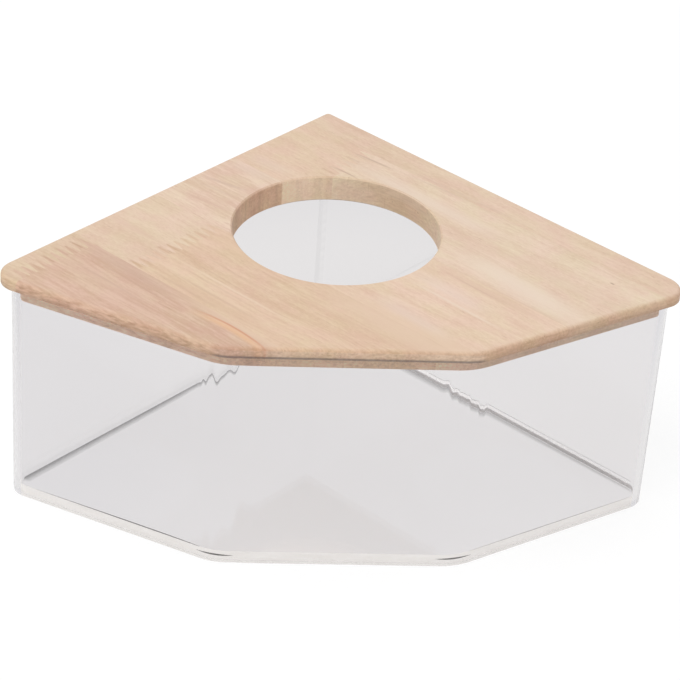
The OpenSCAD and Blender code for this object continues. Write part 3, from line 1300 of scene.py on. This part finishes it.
@dataclass
class Lid:
    """Wooden lid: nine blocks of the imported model, each with its own wood."""

    corner_r: float = 3.0
    blocks: tuple[Block, ...] = (
        Block("lid_stave_1", Slot.TAN, (225, 198, 175), 0.8, (
            Streak((19.0, 60.0), (15.0, 190.0), 2.0, 0.35, (216, 190, 168)),
        )),
        Block("lid_stave_2_back", Slot.TAN, (226, 199, 175), 0.7, (
            Streak((76.0, 0.0), (74.0, 44.0), 9.0, 0.4, (227, 202, 186)),
            Streak((27.0, 44.0), (24.5, 75.0), 1.2, 0.7, (196, 168, 146)),
            Streak((49.0, 47.0), (48.6, 70.0), 1.0, 0.7, (190, 158, 138)),
        ), (1.62, 1.94, 2.12)),
        Block("lid_stave_2_front", Slot.CREAM, (228, 204, 181), 0.8, (
            Streak((36.0, 30.0), (40.0, 190.0), 9.0, 0.7, (234, 214, 195)),
            Streak((68.0, 150.0), (75.0, 275.0), 14.0, 0.8, (235, 215, 196)),
            Streak((51.0, 150.0), (49.0, 285.0), 6.0, 0.5, (226, 200, 177)),
            Streak((27.0, 44.0), (24.5, 80.0), 1.4, 0.75, (196, 168, 146)),
            Streak((24.0, 70.0), (17.0, 165.0), 1.6, 0.4, (212, 186, 164)),
            Streak((49.0, 47.0), (48.6, 70.0), 1.0, 0.75, (190, 158, 138)),
            Streak((84.5, 160.0), (84.5, 275.0), 1.6, 0.5, (218, 188, 163)),
            Streak((30.5, 241.5), (30.5, 245.5), 0.9, 0.8, (172, 142, 118)),
        ), (1.62, 1.94, 2.12)),
        Block("lid_stave_3_back", Slot.TAN, (226, 199, 178), 1.5, (
            Streak((92.0, 0.0), (88.0, 44.0), 8.0, 0.5, (228, 203, 187)),
            Streak((116.0, 0.0), (107.0, 40.0), 2.4, 0.55, (206, 178, 158)),
            Streak((123.0, 0.0), (118.0, 40.0), 2.0, 0.35, (212, 184, 164)),
            Streak((138.0, 0.0), (131.0, 52.0), 2.2, 0.6, (213, 179, 158)),
        )),
        Block("lid_stave_3_front", Slot.PINK, (228, 201, 178), 0.9, (
            Streak((150.0, 120.0), (150.0, 300.0), 16.0, 0.8, (226, 198, 172)),
            Streak((104.0, 150.0), (106.0, 225.0), 10.0, 0.6, (234, 211, 196)),
            Streak((138.0, 155.0), (141.0, 225.0), 9.0, 0.6, (229, 205, 190)),
            Streak((88.5, 150.0), (90.0, 262.0), 5.0, 0.6, (219, 187, 164)),
            Streak((91.0, 165.0), (92.0, 225.0), 1.2, 0.5, (205, 170, 148)),
            Streak((112.0, 155.0), (114.0, 245.0), 1.6, 0.6, (237, 217, 199)),
        )),
        Block("lid_stave_4_back", Slot.CREAM, (224, 198, 175), 0.7, (
            Streak((188.0, -8.0), (187.0, 44.0), 4.0, 0.6, (221, 190, 169)),
        )),
        Block("lid_stave_4_front", Slot.TAN, (221, 192, 166), 1.1, (
            Streak((154.0, 110.0), (151.0, 290.0), 22.0, 0.8, (226, 198, 173)),
            Streak((158.0, 45.0), (160.0, 125.0), 9.0, 0.5, (222, 192, 162)),
            Streak((208.0, 40.0), (209.0, 175.0), 7.0, 0.6, (217, 186, 158)),
            Streak((192.0, 50.0), (192.5, 165.0), 1.6, 0.6, (234, 210, 187)),
            Streak((178.0, 55.0), (181.0, 130.0), 1.4, 0.4, (208, 177, 150)),
            Streak((187.0, 55.0), (189.0, 125.0), 1.2, 0.4, (208, 177, 150)),
            Streak((196.0, 58.0), (197.0, 135.0), 1.4, 0.4, (208, 177, 150)),
            Streak((203.5, 55.0), (205.0, 150.0), 1.3, 0.4, (203, 171, 145)),
            Streak((210.5, 52.0), (212.0, 120.0), 1.4, 0.4, (203, 171, 145)),
        )),
        Block("lid_stave_5_back", Slot.CREAM, (219, 194, 168), 0.9),
        Block("lid_stave_5_front", Slot.PINK, (214, 182, 160), 2.0, (
            Streak((219.0, 0.0), (221.0, 105.0), 8.0, 0.6, (204, 171, 152)),
            Streak((214.0, 60.0), (214.0, 230.0), 11.0, 0.9, (226, 198, 172)),
            Streak((238.0, 5.0), (240.0, 110.0), 9.0, 0.4, (210, 176, 155)),
            Streak((227.0, 18.0), (227.0, 100.0), 1.6, 0.4, (197, 162, 142)),
            Streak((236.0, 18.0), (237.0, 90.0), 1.4, 0.4, (197, 162, 142)),
            Streak((226.0, 98.0), (227.7, 170.0), 3.8, 0.65, (233, 186, 144), -5.2),
            Streak((223.5, 98.0), (225.2, 170.0), 1.2, 0.75, (206, 140, 108), -5.2),
        )),
    )

    def build(self) -> None:
        """Give each block of the lid its wood."""
        lid_back = max(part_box(block.node)[1].y for block in self.blocks) / MM
        plan = StavePlan(lid_back + self.corner_r * (math.sqrt(2) - 1))
        finish = WoodFinish(plan)
        for number, block in enumerate(self.blocks):
            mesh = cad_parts[block.node].data
            mesh.materials.clear()
            mesh.materials.append(finish.build(block, number + 1))
            LOG.info("%s: %s", block.node, block.slot.value)


@dataclass
class Studio:
    """Plain white studio: pale floor, even sky, one large soft lamp, and the photograph's camera."""

    floor_half: float = 6.0
    floor_points: int = 9
    floor_z: float = -0.0004
    floor_tone: float = 0.86
    seen_white: float = 0.82
    seen_share: float = 0.26
    through_near: Colour = (0.705, 0.692, 0.69, 1.0)
    through_side: Colour = (0.665, 0.655, 0.66, 1.0)
    through_left: Colour = (0.53, 0.525, 0.54, 1.0)
    through_right: Colour = (0.602, 0.597, 0.622, 1.0)
    through_share: float = 0.12
    near_reach: float = 0.2
    far_reach: float = 0.45
    light_bounces: int = 160
    sky: float = 0.72
    through_sky: Colour = (0.71, 0.70, 0.72, 1.0)
    key_power: float = 15.7
    key_size: float = 1.3
    key_place: Point = (-0.9, -0.7, 1.9)
    aim: Point = (16.405, 123.984, -14.080)
    distance: float = 1707.562
    azimuth: float = -0.0877
    elevation: float = 0.5757
    roll: float = 0.071
    focal_px: float = 2639.24
    image_px: float = 680.0

    @staticmethod
    def sight(graph: Graph) -> tuple[Signal, Signal]:
        """Tell apart how a ray sees a thing.

        Args:
            graph: the graph of a material or of the world.

        Returns:
            Mask of the rays that see it plainly or in gloss, and mask of those that came through acrylic.
        """
        kinds = ("Camera", "Glossy", "Transmission")
        camera, gloss, through = (graph.ray(f"Is {kind} Ray") for kind in kinds)
        return graph.math("MAXIMUM", camera, gloss) * (1 - through), through

    def floor(self) -> bpy.types.Object:
        """Wide floor just under the part, white to the camera and in gloss, pale grey through acrylic.

        Returns:
            The floor, which belongs to the stage.
        """
        side = np.linspace(-self.floor_half, self.floor_half, self.floor_points) / MM
        x, y = np.meshgrid(side, side, indexing="ij")
        vertices = np.stack([x, y, np.full_like(x, self.floor_z / MM)], axis=-1)
        material, graph = new_material("studio_floor")
        seen, through = self.sight(graph)
        place = graph.place((1.0, 1.0, 1.0))
        away = graph.node("ShaderNodeVectorMath", {"operation": "LENGTH"}, {0: place}, 1)
        across = graph.node("ShaderNodeSeparateXYZ", {}, {0: place})
        rightwards = graph.step(across, -self.far_reach, self.far_reach)
        far = graph.mix(rightwards, self.through_left, self.through_right)
        inwards = graph.step(across, -0.8 * self.near_reach, -0.2 * self.near_reach)
        near = graph.mix(inwards, self.through_side, self.through_near)
        grey = graph.mix(graph.step(away, self.near_reach, self.far_reach), near, far)
        tone = graph.mix(through, WHITE, grey)
        strength = seen * self.seen_white + through
        glow = graph.node("ShaderNodeEmission", {}, {"Color": tone, "Strength": strength})
        matt = graph.node("ShaderNodeBsdfDiffuse", {}, {"Color": (self.floor_tone,) * 3 + (1.0,)})
        none = graph.node("ShaderNodeEmission", {}, {"Strength": 0.0})
        share = 1 - seen * (1 - self.seen_share) - through * (1 - self.through_share)
        lit = graph.mix_shader(share, none, matt)
        graph.surface(graph.node("ShaderNodeAddShader", {}, {0: lit, 1: glow}))
        faces = grid_faces(self.floor_points, self.floor_points, False, False)
        floor = make_piece("studio_floor", vertices, faces.tolist(), [material])
        return floor

    def world(self) -> None:
        """Even sky: plain light for the object, white to camera and gloss, pale grey through acrylic."""
        world = bpy.data.worlds.new("studio_sky")
        graph = Graph(world)
        seen, through = self.sight(graph)
        tone = graph.mix(through, WHITE, self.through_sky)
        level = seen * (1 - self.sky) + through * (1 - self.sky) + self.sky
        sky = graph.node("ShaderNodeBackground", {}, {"Color": tone, "Strength": level})
        graph.node("ShaderNodeOutputWorld", {}, {"Surface": sky})
        bpy.context.scene.world = world

    def lamp(self) -> None:
        """Large soft lamp above, in front and to the left."""
        light = bpy.data.lights.new("key_lamp", "AREA")
        light.shape = "DISK"
        light.size = self.key_size
        light.energy = self.key_power
        lamp = bpy.data.objects.new("key_lamp", light)
        lamp.location = self.key_place
        lamp.rotation_euler = (-Vector(self.key_place)).to_track_quat("-Z", "Y").to_euler()
        lamp.visible_glossy = False
        lamp.visible_transmission = False
        bpy.context.scene.collection.objects.link(lamp)

    def camera(self) -> None:
        """Camera on the photograph's line of sight, turned by its roll.

        The line back from the aim has the azimuth and elevation; right is horizontal and square to
        it; both axes across the picture are then turned about the line by the roll.
        """
        a, e = self.azimuth, self.elevation
        back = Vector((math.sin(a) * math.cos(e), -math.cos(a) * math.cos(e), math.sin(e)))
        right = (-back).cross(Vector((0, 0, 1))).normalized()
        up = right.cross(-back)
        c, s = math.cos(self.roll), math.sin(self.roll)
        across = right * c + up * s
        upward = up * c - right * s
        data = bpy.data.cameras.new("camera")
        data.sensor_width = 36.0
        data.lens = self.focal_px / self.image_px * data.sensor_width
        data.clip_start = 0.05
        data.clip_end = 50.0
        camera = bpy.data.objects.new("camera", data)
        turn = Matrix((across, upward, back)).transposed().to_4x4()
        spot = (Vector(self.aim) + back * self.distance) * MM
        camera.matrix_world = Matrix.Translation(spot) @ turn
        bpy.context.scene.collection.objects.link(camera)
        bpy.context.scene.camera = camera

    def light_paths(self) -> None:
        """Let light bounce often enough inside the clear sheets that their edges don't turn black."""
        cycles = bpy.context.scene.cycles
        cycles.max_bounces = self.light_bounces
        cycles.glossy_bounces = self.light_bounces
        cycles.transmission_bounces = self.light_bounces

    def build(self) -> None:
        """Set up floor, sky, lamp, camera, light paths and the plain view transform."""
        self.camera()
        self.floor()
        self.world()
        self.lamp()
        self.light_paths()
        bpy.context.scene.view_settings.view_transform = "Standard"


def main() -> None:
    """Build the studio, the tank and the lid in order."""
    logging.basicConfig(level=logging.INFO, format="%(message)s")
    Studio().build()
    Tank().build()
    Lid().build()


if __name__ == "__main__":
    main()
